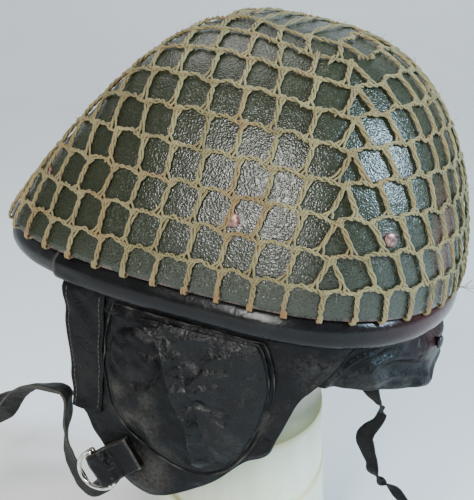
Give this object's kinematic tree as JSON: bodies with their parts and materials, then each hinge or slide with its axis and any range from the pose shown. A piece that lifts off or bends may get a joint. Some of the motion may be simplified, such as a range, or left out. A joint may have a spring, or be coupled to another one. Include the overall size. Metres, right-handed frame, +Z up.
{
  "type": "paratrooper helmet on tube stand",
  "caption": "Domed steel paratrooper helmet with string net, leather ear and nape flaps, chin strap and D-ring buckle, on a plain tube stand.",
  "frame": {"origin": "centre of the stand's flat foot", "axes": "+Z up, wearer's front towards -Y, wearer's left towards +X; the helmet is tipped 9.2 degrees with its front up"},
  "size_m": [0.2558, 0.3761, 0.3702],
  "materials": {
    "olive_paint": "worn grainy paint, half gloss",
    "net_string": "twisted cotton string",
    "bumper_rubber": "smooth, glossy",
    "black_leather": "creased, dusty, half gloss",
    "strap_leather": "worn",
    "rivet_metal": "scuffed",
    "ring_chrome": "polished, a little tarnished",
    "stand_plastic": "cream, translucent"
  },
  "bodies": {
    "root": {"steel_shell": "olive_paint", "string_net": "net_string", "rim_bumper": "bumper_rubber", "hood_binding": "black_leather", "nape_flap": "black_leather", "ear_flap_left": "black_leather", "ear_flap_right": "black_leather", "temple_strip_left": "black_leather", "temple_strip_right": "black_leather", "ear_pocket_left": "black_leather", "ear_pocket_right": "black_leather", "pocket_cover_left": "black_leather", "pocket_cover_right": "black_leather", "rivet_side_left": "rivet_metal", "rivet_rear_left": "rivet_metal", "rivet_front_left": "rivet_metal", "rivet_side_right": "rivet_metal", "rivet_rear_right": "rivet_metal", "rivet_front_right": "rivet_metal", "buckle_tab": "black_leather", "d_ring_outer": "ring_chrome", "d_ring_inner": "ring_chrome", "chin_strap": "strap_leather", "nape_tie": "strap_leather", "nape_stud": "rivet_metal", "stand_tube": "stand_plastic"}
  },
  "joints": []
}
